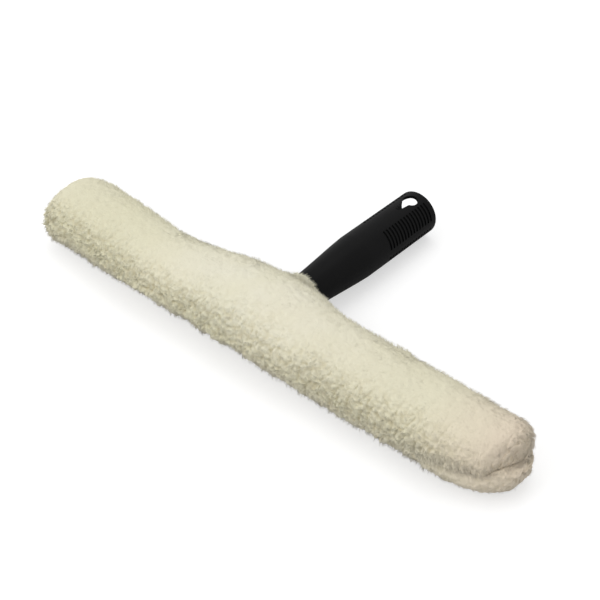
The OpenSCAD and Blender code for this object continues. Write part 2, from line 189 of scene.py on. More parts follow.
# Front corners that are set back: share of the width, start, length and power
flap_side, flap_tip, low_corner = (0.33, 131, 32, 1.2), (0.95, 163, 12, 1.2), (0.22, 140, 25, 1.5)


def bell(x, reach):
    return np.exp(-(x / reach) ** 2)


def rounding(t, power):
    return np.maximum(0, 1 - np.clip(t, 0, 1) ** power) ** (1 / power)


def ramp(x, start, end):
    t = np.clip((x - start) / (end - start), 0, 1)
    return t * t * (3 - 2 * t)


def waved(width, x, waves):
    for out, at, reach in waves:
        width = width + out * bell(x - at, reach)
    return width


def at_end(x, left, left_power, right, right_power):
    """What the rounded ends leave of a width or a height at x."""
    from_left = rounding(1 - (x - pile_end) / left, left_power)
    from_right = rounding(1 - (-pile_end - x) / right, right_power)
    return np.maximum(least_end, np.where(x < 0, from_left, from_right))


def set_back(x, share, start, length, power):
    return share * np.clip((x - start) / length, 0, 1) ** power


def outline(x, side, inset):
    """At x: the place along the sleeve, the same on its full length, then the layer's width behind and in front
    of the bar's line, its height and its middle."""
    x_in = np.clip(x, pile_end + inset, -pile_end - inset) * 1.0
    s = x_in * sleeve_len / (sleeve_len - 2 * inset)
    waist = 2.4 * ramp(s, -153, -144) * (1 - ramp(s, -95, -55))
    back = waved(waved(outer_half_w - waist, s, back_waves) * at_end(s, *back_ends), s, web_swell)
    front = waved(waved(outer_half_w, s, front_dip) * at_end(s, *front_ends), s, front_swell)
    if side > 0:
        left_over = 1 - set_back(s, *flap_side) - set_back(s, *flap_tip)
        front = np.minimum(front, waved(outer_half_w * left_over, s, front_swell))
        middle = 12 * ramp(s, 155, 175)
        tall = waved(outer_tall * at_end(s, *top_ends), s, neck_swell)
    else:
        front = np.minimum(front, outer_half_w * (1 - set_back(s, *low_corner)))
        back = np.where(s > 140, outer_half_w * at_end(s, *low_back_ends), back)
        middle = 10 * ramp(s, 155, 175)
        tall = outer_tall * at_end(s, *bottom_ends)
    return x_in, s, back - inset, front - inset, np.maximum(tall - inset, 1.0), middle


def flap_front(x):
    return outline(x, 1, ground_inset)[3]


def half_ring_y(c, power, behind, before, middle):
    wide = np.abs(c) ** (2 / power)
    return np.where(c >= 0, middle + (behind - middle) * wide, middle - (before + middle) * wide)


def section(x, turn, side, inset):
    """Point on a layer's outside at x: turn runs from 0 at the back parting line to pi at the front one."""
    x_in, s, back, front, tall, middle = outline(x, side, inset)
    c = np.cos(turn)
    z = tall * np.maximum(np.sin(turn), 0) ** (2 / outer_power)
    crease = (crease_upper if side > 0 else crease_lower) * ramp(s, 122, 160) * np.where(c < 0, 1, 0.5)
    y = half_ring_y(c, outer_power, back, front, middle) * (1 - crease * bell(z, crease_tall))
    z = np.maximum(z, layer_gap)
    if side < 0:
        z, x_in = np.minimum(z, bar_z - flat_cut), x_in + low_tip * ramp(x_in, 160, 175)
    return np.stack([x_in, bar_y + y + askew * x_in, bar_z + side * z], -1)


def hollow(x, turn, side, wall):
    """Point on a layer's inside: wall is its distance from the lining's inner face."""
    _, _, back, front, _, middle = outline(x, side, ground_inset)
    closing = np.clip((x - closing_from) / closing_len, 0, 1)
    left = rounding(1 - (x - hollow_left + wall) / hollow_round, hollow_end_power)
    half = (hollow_half_w + wall) * np.where(x < 0, 0.6 + 0.4 * left, 1) - closing_in * closing
    tall = (hollow_tall + wall) * left * (1 - closing) + (mouth_tall + wall) * closing
    tall = waved(tall, x, neck_swell) if side > 0 else tall
    tall = np.where((x > mouth_x) | (x < hollow_left - wall), 0, tall)
    behind = np.minimum(waved(half, x, web_swell), back * 0.92 - 1)
    before = np.minimum(half, np.minimum(front * 0.92 - 1, flap_front(x) * 0.96 - 0.8))
    y = half_ring_y(np.cos(turn), hollow_power, behind, before, middle)
    z = np.maximum(tall * np.maximum(np.sin(turn), 0) ** (2 / hollow_power), layer_gap)
    return np.stack([x * np.ones_like(turn), bar_y + y, bar_z + side * z], -1)


def neck_height(co, reach):
    """Height over the neck's axis, how high an arch of that radius is there, and which points are beside it."""
    y, z = co[..., 1] - bar_y, co[..., 2] - bar_z
    along, high = y * math.cos(lean) - z * math.sin(lean), y * math.sin(lean) + z * math.cos(lean)
    arch = np.sqrt(np.maximum(reach * reach - co[..., 0] ** 2, 0))
    return high, arch, (along > neck_from) & (np.abs(co[..., 0]) < reach)


def past_neck(co, side, reach):
    """Lifts the points that lie in the neck's way on to an arch round it."""
    high, arch, near = neck_height(co, reach)
    lift = np.where(near & (side * high < arch), arch - side * high, 0) * side
    return co + lift[..., None] * (0, 0, 1)


def lattice(count_x, count_turn):
    """A bmesh grid as a mesh, with its (0..1, 0..1) places."""
    bm = bmesh.new()
    bmesh.ops.create_grid(bm, x_segments=count_x, y_segments=count_turn, size=0.5)
    mesh = bpy.data.meshes.new("lattice")
    bm.to_mesh(mesh)
    bm.free()
    co = np.empty(len(mesh.vertices) * 3, np.float32)
    mesh.vertices.foreach_get("co", co)
    co = co.reshape(-1, 3)
    return mesh, co[:, 0] + 0.5, co[:, 1] + 0.5


def mark(mesh, name, values):
    mesh.attributes.new(name, "FLOAT", "POINT").data.foreach_set("value", values.astype(np.float32))


def linked(name, mesh):
    piece = bpy.data.objects.new(name, mesh)
    scene.collection.objects.link(piece)
    return piece


def shell(name, x_of, count_x, rows, ring):
    """A closed layer: ring gives its points along and round it, and the painted shade at them, which mostly follows
    their depth in the pile.
    """
    mesh, u, v = lattice(count_x, rows)
    co, depth_and_painted_shade = ring(x_of(u), v)
    mark(mesh, "crevice", depth_and_painted_shade)
    mesh.vertices.foreach_set("co", (co * MM).astype(np.float32).ravel())
    mesh.update()
    bm = bmesh.new()
    bm.from_mesh(mesh)
    bmesh.ops.remove_doubles(bm, verts=bm.verts, dist=1e-7)
    filled = bmesh.ops.holes_fill(bm, edges=[e for e in bm.edges if e.is_boundary], sides=0)["faces"]
    bmesh.ops.triangulate(bm, faces=filled)
    bmesh.ops.recalc_face_normals(bm, faces=bm.faces)
    bm.to_mesh(mesh)
    bm.free()
    mesh.polygons.foreach_set("use_smooth", [True] * len(mesh.polygons))
    mesh.set_sharp_from_angle(angle=math.radians(66))
    return linked(name, mesh)


def hashed(cell, salt):
    """A repeatable number from 0 to 1 for each cell of space, stirred with large odd numbers."""
    c = cell.astype(np.int64)
    h = (c[..., 0] * 73856093) ^ (c[..., 1] * 19349663) ^ (c[..., 2] * 83492791) ^ (salt * 2654435761)
    h = (h ^ (h >> 13)) * 1274126177 & 0x7FFFFFFF
    h = (h ^ (h >> 16)) * 668265263 & 0x7FFFFFFF
    return (h % 100003) / 100003.0


def smooth_field(co, size, salt):
    """Soft random waves from -1 to 1, size millimetres apart."""
    cell = np.floor(co / size)
    part = co / size - cell
    part = part * part * (3 - 2 * part)
    total = 0
    for corner in np.ndindex(2, 2, 2):
        total = total + np.prod(np.where(corner, part, 1 - part), -1) * hashed(cell + corner, salt)
    return total * 2 - 1


def knots(co, spacing, salt):
    """For each place the nearest knot of curled fibres: the way to it, its distance and its own random number."""
    cell = np.floor(co / spacing - 0.5)
    best, way, lot = np.full(len(co), 1e9), np.zeros_like(co), np.zeros(len(co))
    for corner in np.ndindex(2, 2, 2):
        at = cell + corner
        to = (at + 0.2 + 0.6 * np.stack([hashed(at, salt + k) for k in range(3)], -1)) * spacing - co
        dist = np.linalg.norm(to, axis=-1)
        near = dist < best
        best, lot = np.where(near, dist, best), np.where(near, hashed(at, salt + 3), lot)
        way = np.where(near[:, None], to, way)
    return way, best / spacing, lot


def curled(x, turn, side, co):
    """How much the pile is curled into knots there, from 0, combed smooth, to 1: least on the top and the flap."""
    front = 1 / (1 + np.exp(-(turn - 2.25) / 0.22))
    back = 0.6 / (1 + np.exp((turn - 0.7) / 0.16))
    curl = (front + back if side > 0 else np.ones_like(turn) * 0.95) * (1 - 0.72 * ramp(x, 120, 158))
    ends = ramp(np.abs(x), 163, 172)
    return np.clip(curl * (1 - ends) + np.where(x < 0, 0.45, 0.3) * ends + 0.03 + 0.1 * smooth_field(co, 17, 5), 0, 1)


knot_spacing, coil_size, fine_coil_size = 3.4, 1.7, 1.0


def relief(co, curl):
    """How far the pile stands out there, the depth between its knots at the place, which also sets the painted shade
    there, and the way to its knot.
    """
    stirred = co + 1.7 * np.stack([smooth_field(co, 5, 11 + k) for k in range(3)], -1)
    way, near, lot = knots(stirred, knot_spacing, 21)
    bump = (1 - np.clip(near * 1.05, 0, 1) ** 1.6) * (0.55 + 0.45 * lot)
    coil = 1 - 2.4 * np.abs(smooth_field(stirred * (1, 0.6, 1), coil_size, 51))
    coil = coil + 0.5 * (1 - 2.4 * np.abs(smooth_field(stirred, fine_coil_size, 52)))
    wave = smooth_field(co, 24, 31) * 0.8 + smooth_field(co, 9, 32) * 0.5 + smooth_field(co, 3.5, 33) * 0.25
    # The depth between the knots also serves as the mask of painted shade there.
    depth_and_painted_shade = curl * np.clip((near - 0.4) / 0.35, 0, 1) * (0.6 + 0.4 * (1 - lot))
    clump = smooth_field(stirred * (1.0, 0.7, 0.7), 6, 34)
    return curl ** 1.3 * (3.0 * bump - 1.4 + 0.55 * coil + 1.0 * clump) + 0.5 * wave + 0.05 * coil, depth_and_painted_shade, way


def swell(from_rim, ahead):
    """How far the lower layer's pile rises in front of the flap's lip."""
    rise = 1.9 * np.sqrt(np.clip(from_rim / 3.5, 0, 1)) * ramp(ahead, -2.5, 1.8)
    return np.where(ahead < 0.3, np.minimum(rise, 0.45), rise)


# Shares of the way round a layer: its outside from back to front, the front edge, the inside back again, the back edge
outside_share, edge_share, inside_from, inside_share, back_from, at_back = 0.66, 0.06, 0.72, 0.22, 0.94, 0.935


def ground(name, side, count_x, rows):
    """A layer's dense pile, with its knots and waves, lined by the hollow."""
    def x_of(u):
        return pile_end + sleeve_len * (0.5 - 0.5 * np.cos(np.pi * (0.1 + 0.8 * u)) / math.cos(math.pi * 0.1))

    def ring(x, v):
        turn = np.where(v > at_back, 0, np.pi * np.clip(v / outside_share, 0, 1))
        base, out = section(x, turn, side, ground_inset), section(x, turn, side, ground_inset - 1)
        lift, depth_and_painted_shade, _ = relief(base, curled(x, turn, side, base))
        lift = lift + 0.55 * bell(turn - 0.8, 0.8) * (side > 0) * smooth_field(base, 2.6, 35)
        lift = lift * ramp(-pile_end - np.abs(x), 0, 1.5)
        outer = base + (out - base) * lift[:, None]
        x_in = np.clip(x, pile_end + ground_inset, -pile_end - ground_inset)
        inner_turn = np.pi * (1 - np.clip((v - inside_from) / inside_share, 0, 1))
        inner = hollow(x_in, inner_turn, side, lining_t + layer_gap)
        front = np.clip((v - outside_share) / edge_share, 0, 1)
        inward = front - np.clip((v - back_from) / edge_share, 0, 1)
        co = outer + (inner - outer) * inward[:, None]
        if side < 0:
            ahead = bar_y - flap_front(x) + askew * x - co[:, 1]
            rise = swell(np.linalg.norm(co - outer, axis=-1), ahead) * ((front > 0) & (front < 1))
            co[:, 2] += rise * (1 + 0.3 * smooth_field(co, 3, 61))
            # Painted shadow on the ledge under the flap's lip, weaker near x = 122.
            painted_shadow_under_lip = 0.7 * (1 - ramp(ahead, 0, 2)) * (1 - 0.7 * bell(x - 122, 13))
            depth_and_painted_shade = np.where(front > 0, np.maximum(0.25 * depth_and_painted_shade, painted_shadow_under_lip), depth_and_painted_shade)
        co = past_neck(co, side, neck_r + 0.5)
        co[:, 2] = np.maximum(co[:, 2], 0.1)
        return co, depth_and_painted_shade * (inward < 1)

    return shell(name, x_of, count_x, rows, ring)


def lock_shape():
    """One lock of fibres: a three-sided cone in two lengths, standing on z from 0 to 1."""
    bm = bmesh.new()
    bmesh.ops.create_cone(bm, cap_ends=False, segments=3, radius1=1.0, radius2=0.0, depth=1.0)
    bmesh.ops.remove_doubles(bm, verts=bm.verts, dist=1e-5)
    bmesh.ops.bisect_plane(bm, geom=bm.verts[:] + bm.edges[:] + bm.faces[:], plane_co=(0, 0, 0.05), plane_no=(0, 0, 1))
    bmesh.ops.triangulate(bm, faces=bm.faces)
    co, faces = corners_and_faces(bm)
    co[:, 2] += 0.5
    return co, faces


def corners_and_faces(bm):
    bm.verts.index_update()
    co, faces = np.array([v.co for v in bm.verts]), np.array([[v.index for v in f.verts] for f in bm.faces])
    bm.free()
    return co, faces


lock_co, lock_faces = lock_shape()
lock_t = lock_co[:, 2]
lock_xy = lock_co[:, :2] / np.maximum(1 - lock_t, 1e-3)[:, None]
lock_xy[lock_t > 0.99] = 0
lock_wide = 1 - lock_t ** 1.7
lock_len, lock_len_more, lock_r, lock_r_more = 1.5, 0.9, 0.06, 0.05


def unit(v):
    return v / np.maximum(np.linalg.norm(v, axis=-1, keepdims=True), 1e-6)


def flattened(v, normal):
    """The part of a direction that lies along the surface."""
    return v - normal * (v * normal).sum(-1, keepdims=True)


def repeated(name, co, faces):
    """One mesh of many copies of a small shape, whose corners are given copy by copy."""
    n, k, f = co.shape[0], co.shape[1], len(faces)
    mesh = bpy.data.meshes.new(name)
    mesh.vertices.add(n * k)
    mesh.vertices.foreach_set("co", (co * MM).astype(np.float32).ravel())
    mesh.loops.add(n * f * 3)
    mesh.loops.foreach_set("vertex_index", (faces[None] + (np.arange(n) * k)[:, None, None]).astype(np.int32).ravel())
    mesh.polygons.add(n * f)
    mesh.polygons.foreach_set("loop_start", np.arange(0, n * f * 3, 3, dtype=np.int32))
    mesh.polygons.foreach_set("use_smooth", np.ones(n * f, bool))
    mesh.update()
    mesh.validate()
    return linked(name, mesh)


def strewn(rng, x_from, x_to, turn_from, turn_to, count):
    """Places over a stretch of a layer, one at random in each cell of a grid."""
    share_round = abs(turn_to - turn_from) / np.pi
    across = max(4, int(math.sqrt(count * (x_to - x_from) / (share_round * half_girth))))
    rows = max(4, int(count / across))
    i, j = (cells.ravel() for cells in np.meshgrid(np.arange(across), np.arange(rows), indexing="ij"))
    x = x_from + (x_to - x_from) * (i + rng.random(i.size)) / across
    return x, turn_from + (turn_to - turn_from) * (j + rng.random(i.size)) / rows


def fringe(x, turn, side):
    """How far a place belongs to the lip of the flap or the slit, and to an edge that is seen against the light."""
    front_lip, slit_lip = ramp(x, 106, 142) * ramp(turn, 2.6, 3.1), bell(x, 16) * (1 - ramp(turn, 0.1, 0.5))
    lip = np.maximum((front_lip + slit_lip) * (side > 0), 0.4 * ramp(x, 160, 172) * (side > 0))
    return lip, np.maximum(bell(turn - 0.8, 0.6) * (side > 0), 0.8 * ramp(-x, 155, 168))


def bearings(surface, x, turn, side, outward):
    """Directions round a layer, along it and out of it."""
    around = unit(surface(x, turn + 0.01, side, ground_inset) - surface(x, turn - 0.01, side, ground_inset))
    along = surface(x + 0.25, turn, side, ground_inset) - surface(x - 0.25, turn, side, ground_inset)
    along[:, 0] = np.maximum(along[:, 0], 0.02)
    along = unit(along)
    normal = unit(np.cross(around, along))
    return around, along, normal * np.where((normal * outward).sum(-1) < 0, -1, 1)[:, None]


def combed(rng, root, x, turn, side, around, along, normal, opening):
    """The way that each lock leans over the surface: down the sides, and hanging at the ends."""
    flow_along = smooth_field(root, 26, 41) + 0.5 * smooth_field(root, 8, 42) + 0.9 * opening
    flow_round = np.cos(turn) * (-0.9 if side > 0 else 0.9) + (0.45 if side > 0 else 0.0)
    flow_round = flow_round + 0.4 * smooth_field(root, 30, 43)
    way = unit(along * flow_along[:, None] + around * flow_round[:, None])
    down = unit(flattened(np.array([0, 0, -1.0]) + 0.5 * rng.standard_normal(root.shape), normal))
    return unit(way + (down - way) * ramp(np.abs(x), 163, 170)[:, None])


def lock_bodies(rng, root, bow, tip, normal, wider):
    """The lock shape bent along each curve from root over bow to tip, and the way from its axis to each corner."""
    w = lock_t[None, :, None]
    path = root[:, None] * (1 - w) ** 2 + 2 * bow[:, None] * w * (1 - w) + tip[:, None] * w ** 2
    heading = unit(tip - root)
    side_a = unit(np.cross(heading, normal + 0.01))
    side_b = np.cross(heading, side_a)
    spin = rng.random(len(root)) * 2 * np.pi
    cos_spin, sin_spin = np.cos(spin)[:, None], np.sin(spin)[:, None]
    side_a, side_b = side_a * cos_spin + side_b * sin_spin, side_b * cos_spin - side_a * sin_spin
    away = side_a[:, None] * lock_xy[None, :, :1] + side_b[:, None] * lock_xy[None, :, 1:]
    wide = (lock_r + lock_r_more * rng.random(len(root))) * wider
    co = path + away * lock_wide[None, :, None] * wide[:, None, None]
    co[:, :, 2] = np.maximum(co[:, :, 2], (0.05 + 0.3 * rng.random(len(root)))[:, None])
    return co, away


def tufts(name, side, surface, x_from, x_to, turn_from, turn_to, count, seed):
    """Locks of fibre over one stretch of a layer, each leaning, curled towards its knot, and tapered."""
    rng = np.random.default_rng(seed)
    x, turn = strewn(rng, x_from, x_to, turn_from, turn_to, count)
    inner, outer = surface(x, turn, side, ground_inset), surface(x, turn, side, ground_inset - 1)
    curl = curled(x, turn, side, inner)
    lip, edge = fringe(x, turn, side)
    # Few locks stand in the combed pile, and more in the curls, on the lips and along the edges
    keep = rng.random(x.size) < 0.04 + 0.28 * curl + lip + 0.08 * ramp(x, 140, 170) + 0.16 * edge
    x, turn, inner, outer, lip, curl, edge = (v[keep] for v in (x, turn, inner, outer, lip, curl, edge))
    opening = ramp(x, 118, 150)
    lift, depth_and_painted_shade, way = relief(inner, curl)
    root = inner + (outer - inner) * (lift - 0.35)[:, None]
    high, arch, near_neck = neck_height(root, neck_r + 0.4)
    over = (near_neck & (side * high < arch))[:, None]
    root = past_neck(root, side, neck_r + 0.4)
    around, along, normal = bearings(surface, x, turn, side, outer - inner)
    normal = np.where(over, unit(np.stack([root[:, 0], 0 * arch, np.maximum(arch, 4) * side], -1)), normal)
    leaning = combed(rng, root, x, turn, side, around, along, normal, opening)
    leaning = np.where(over, np.array([0, 1.0, 0]) + 0.4 * rng.standard_normal(root.shape), leaning)
    reach = (lock_len + lock_len_more * rng.random(x.size)) * (0.8 + 0.4 * curl)
    reach = reach + (0.9 * opening + 2.2 * lip + 0.8 * edge) * rng.random(x.size)
    up = 0.16 + 0.6 * curl + 0.35 * edge + (0.05 + 0.1 * curl) * rng.standard_normal(x.size)
    axis = normal * np.clip(up, 0.12, 1.1)[:, None] + leaning * (1.05 - 0.55 * curl)[:, None]
    hanging = 0.5 * around * np.where(turn > 1.5, 1, -1)[:, None] + np.array([0, 0, -0.35])
    axis += (0.12 + 0.2 * curl)[:, None] * rng.standard_normal((x.size, 3)) + lip[:, None] * hanging
    axis += along * (lip * opening * (0.55 + 0.8 * smooth_field(root, 6, 44)))[:, None]
    axis = unit(axis)
    gather = (0.04 + 0.8 * curl + 0.5 * lip * opening)[:, None] * flattened(way, normal)
    tip = root + axis * reach[:, None] + gather + normal * (0.3 * curl * (1 - depth_and_painted_shade))[:, None]
    bow = root + normal * (0.6 * reach * np.clip(up + 0.25, 0.3, 1))[:, None] + axis * (0.25 * reach)[:, None]
    co, away = lock_bodies(rng, root, bow, tip, normal, 1 + 0.5 * curl + 0.8 * lip + 0.3 * edge)
    piece = repeated(name, co, lock_faces)
    mark(piece.data, "height", np.tile(lock_t, x.size))
    mark(piece.data, "lock", np.repeat(rng.random(x.size), len(lock_co)))
    # The painted shade between the knots fades along each lock towards its tip.
    mark(piece.data, "crevice", (depth_and_painted_shade[:, None] * (1 - lock_t)[None]).ravel())
    # The locks take their light as the pile that they stand in does, and a little from their own roundness
    ground_normal = normal + (0.8 * lip * opening)[:, None] * (0, 0, 1)
    soft = unit(ground_normal[:, None] + (0.1 + 0.7 * edge)[:, None, None] * away)
    piece.data.normals_split_custom_set_from_vertices(soft.reshape(-1, 3).tolist())
    return piece


def attribute(name):
    return Val(Val.node("ShaderNodeAttribute", {"attribute_name": name}).outputs["Fac"])


def fleece(name, tufted):
    """Cream wool, yellower and darker at the sides as painted shade, a blush to the right end, painted shade
    underneath, and painted shade between the knots and under the flap's lip.
    """
    material, place = begin(name)
    patch, warm, fine = noise(place, 28, 3, 0.6), noise(place, 11, 2, 0.5), noise(place, 700, 3)
    axes = Val.node("ShaderNodeSeparateXYZ", None, Vector=place).outputs
    along, high = Val(axes["X"]), Val(axes["Z"])
    # The locks' copy is painted lighter than the ground's, to offset the shade that the thin locks cast on themselves.
    if tufted:
        dull, light, painted_shade_yellow = (0.93, 0.90, 0.73), (0.95, 0.925, 0.79), (0.87, 0.835, 0.62)
    else:
        dull, light, painted_shade_yellow = (0.79, 0.76, 0.60), (0.81, 0.785, 0.66), (0.71, 0.68, 0.485)
    cream = blended(patch.clamped(0.35, 0.65), dull, light)
    # The sides below the top take a darker, yellower colour: painted shade on the faces turned from the lamps, with a
    # yellower tone.
    cream = blended((1 - high.clamped(0.024, 0.040)) * 0.85, cream, painted_shade_yellow)
    # Towards both ends the same darker, yellower colour is blended in.
    cream = blended(Val.maths("ABSOLUTE", along).clamped(0.03, 0.11) * 0.6, cream, painted_shade_yellow)
    cream = blended(warm.clamped(0.42, 0.68) * 0.4, cream, (0.84, 0.785, 0.62))
    blush = along.clamped(0.118, 0.165)
    cream = blended(blush * (0.6 + 0.6 * patch).clamped(0, 1), cream, (0.77, 0.655, 0.525))
    # Painted shade underneath: the lower faces are greyed, less so at the blushed right end.
    cream = blended((1 - high.clamped(0.006, 0.021)) * (0.75 - 0.35 * blush), cream, (0.60, 0.56, 0.485))
    # Painted shade: darker between the knots and on the ledge under the flap's lip, where shade falls.
    cream = blended(attribute("crevice") * 0.8, cream, (0.58, 0.52, 0.35))
    if tufted:
        # Painted shade: each lock is darker towards its root, where the pile shades it.
        cream = blended((1 - attribute("height").clamped(0.0, 0.7)) * 0.2, cream, (0.90, 0.86, 0.69))
        cream = blended(attribute("lock") * 0.2, cream, (0.97, 0.945, 0.80))
    else:
        cream = blended(fine * 0.2, cream, (0.78, 0.74, 0.55))
    lie = Val.node("ShaderNodeMapping", None, Vector=place, Rotation=(0.0, 0.0, 0.6), Scale=(420.0, 1500.0, 700.0))
    fibres = fine + noise(Val(lie.outputs[0]), 1.0, 3)
    return finished(material, cream, 0.95, fibres, 0.0004, Specular_IOR_Level=0.1)


ground_wool, lock_wool = fleece("pile_ground", False), fleece("pile_locks", True)
count_x, rows, lots = ((760, 200, 13000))
upper = ground("upper_pile_ground", 1, count_x, rows)
lower = ground("lower_pile_ground", -1, count_x, rows)
for piece in (upper, lower):
    dress(piece, ground_wool)
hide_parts("upper_pile", "flap_pile")
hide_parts("lower_pile")
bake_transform(upper)
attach(lower, "root")


def ledge(x, turn, side, inset):
    """The lower layer's upper face in front of the flap, from its lip, at 0, to the layer's edge, at 1."""
    lip = section(x, np.full_like(x, np.pi), 1, ground_inset)
    rim = section(x, np.full_like(x, np.pi), -1, ground_inset)
    co = lip + (rim - lip) * turn[:, None]
    far = np.linalg.norm((rim - lip)[:, :2], axis=-1)
    co[:, 2] = bar_z - flat_cut + ground_inset - inset + swell((1 - turn) * far, turn * far)
    return co


# Stretches of locks: layer, side, surface, from x to x, from turn to turn, and share of a full stretch's locks
stretches = [("upper", 1, section, -175, -100, 0, np.pi, 1.0), ("upper", 1, section, -100, -30, 0, np.pi, 1.0),
             ("upper", 1, section, -30, 40, 0, np.pi, 1.0), ("upper", 1, section, 40, 108, 0, np.pi, 1.0),
             ("upper", 1, section, 108, 175, 0, np.pi, 1.0), ("lower", -1, section, -175, -60, 0, np.pi, 1.0),
             ("lower", -1, section, -60, 60, 0, np.pi, 1.0), ("lower", -1, section, 60, 175, 0, np.pi, 1.0),
             ("ledge", -1, ledge, 135, 173, 0, 1.0, 0.35), ("neck", 1, section, -22, 22, 0.0, 0.45, 0.2)]
for k, (layer, side, surface, x_from, x_to, turn_from, turn_to, share) in enumerate(stretches):
    piece = tufts(f"{layer}_pile_locks_{k + 1}", side, surface, x_from, x_to, turn_from, turn_to,
                  int(lots * share), 100 + k)
    dress(piece, lock_wool)
    if side > 0:
        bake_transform(piece)
    else:
        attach(piece, "root")

# Linings: the knitted polyester backing that holds the pile, turned inwards round the bar.
# They are one jersey layer, off-white, sewn into a tube; the upper one runs on as the flap's lining.
knit, place = begin("knit_backing")
axes = Val.node("ShaderNodeSeparateXYZ", None, Vector=place).outputs
wale = Val.maths("PINGPONG", Val(axes["Y"]) * 1000, 0.6)
course = Val.maths("SINE", Val(axes["X"]) * 8000 + wale * 4.0)
knit_height = course * 0.5 + wale * 0.9
yarn = noise(place, 2200, 2)
knit = finished(knit, blended(knit_height.clamped(-0.5, 1.0), (0.52, 0.49, 0.40), (0.80, 0.78, 0.69)),
                0.85 + 0.1 * yarn, knit_height + yarn * 0.4, 0.00025, Specular_IOR_Level=0.15)
lining_from, lining_to, lining_len, lining_rows, lining_half = -156, 163.8, 0.32, 66, 33


def lining(name, side):
    """A layer's lining: its outer face is the first half of the rows, and its inner face the second."""
    def x_of(u):
        return lining_from + (lining_to - lining_from) * u

    def ring(x, v):
        row = np.round(v * lining_rows)
        inner = (row > lining_half) & (row < lining_rows)
        turn = np.where(row > lining_half, 0, row / lining_half)
        turn = np.pi * np.where(inner, np.clip(1 - (row - lining_half - 1) / (lining_half - 2), 0, 1), turn)
        co = hollow(x, turn, side, np.where(inner, 0.0, lining_t))
        return past_neck(co, side, neck_r + 0.5), 0 * x

    piece = shell(name, x_of, 160, lining_rows, ring)
    dress(piece, knit)
    return piece


upper_lining = lining("upper_lining", 1)
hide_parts("upper_backing", "flap_backing")
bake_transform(upper_lining)
lower_lining = lining("lower_lining", -1)
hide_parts("lower_backing")
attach(lower_lining, "root")

# Seams: the layers' edges are overlocked together along the front, the back and the left end, inside the sleeve.
# Each is a narrow bead of cloth with white polyester thread wrapped over its edge in slanted loops.
thread, place = begin("seam_thread")
ply = noise(place, 3200, 2)
thread = finished(thread, blended(ply, (0.66, 0.64, 0.57), (0.86, 0.85, 0.79)), 0.6 + 0.2 * ply, ply, 0.0001,
                  Specular_IOR_Level=0.3)
bead_cloth, place = begin("seam_cloth")
nap = noise(place, 1500, 3)
bead_cloth = finished(bead_cloth, blended(nap, (0.62, 0.59, 0.49), (0.82, 0.79, 0.69)), 0.9 + 0.08 * nap, nap, 0.0002,
                      Specular_IOR_Level=0.1)


def bent(thick, angle, sides, steps):
    """A round thread bent in its xz plane over the top of an arc of radius 1, as corners and faces."""
    bm = bmesh.new()
    ring = bmesh.ops.create_circle(bm, cap_ends=True, radius=thick, segments=sides)["verts"]
    bmesh.ops.translate(bm, verts=ring, vec=(1, 0, 0))
    bmesh.ops.rotate(bm, verts=ring, cent=(0, 0, 0), matrix=Matrix.Rotation(angle / 2 - math.pi / 2, 3, "Y"))
    bmesh.ops.spin(bm, geom=bm.verts[:] + bm.edges[:] + bm.faces[:], cent=(0, 0, 0), axis=(0, -1, 0), angle=angle,
                   steps=steps)
    bmesh.ops.holes_fill(bm, edges=[e for e in bm.edges if e.is_boundary], sides=0)
    bmesh.ops.recalc_face_normals(bm, faces=bm.faces)
    bmesh.ops.triangulate(bm, faces=bm.faces)
    return corners_and_faces(bm)


def planted(name, shape, places, forward, upward, size):
    """Copies of one small shape, each with its own place, direction and upward side."""
    co, faces = shape
    forward = unit(np.broadcast_to(forward, places.shape) * 1.0)
    sideways = unit(np.cross(np.broadcast_to(upward, places.shape) * 1.0, forward))
    upward = np.cross(forward, sideways)
    turned = sum(co[None, :, k:k + 1] * way[:, None] * size[k] for k, way in enumerate((forward, sideways, upward)))
    return repeated(name, places[:, None] + turned, faces)


def joined(bm, name):
    mesh = bpy.data.meshes.new(name)
    bm.to_mesh(mesh)
    bm.free()
    mesh.polygons.foreach_set("use_smooth", [True] * len(mesh.polygons))
    mesh.set_sharp_from_angle(angle=math.radians(40))
    return linked(name, mesh)


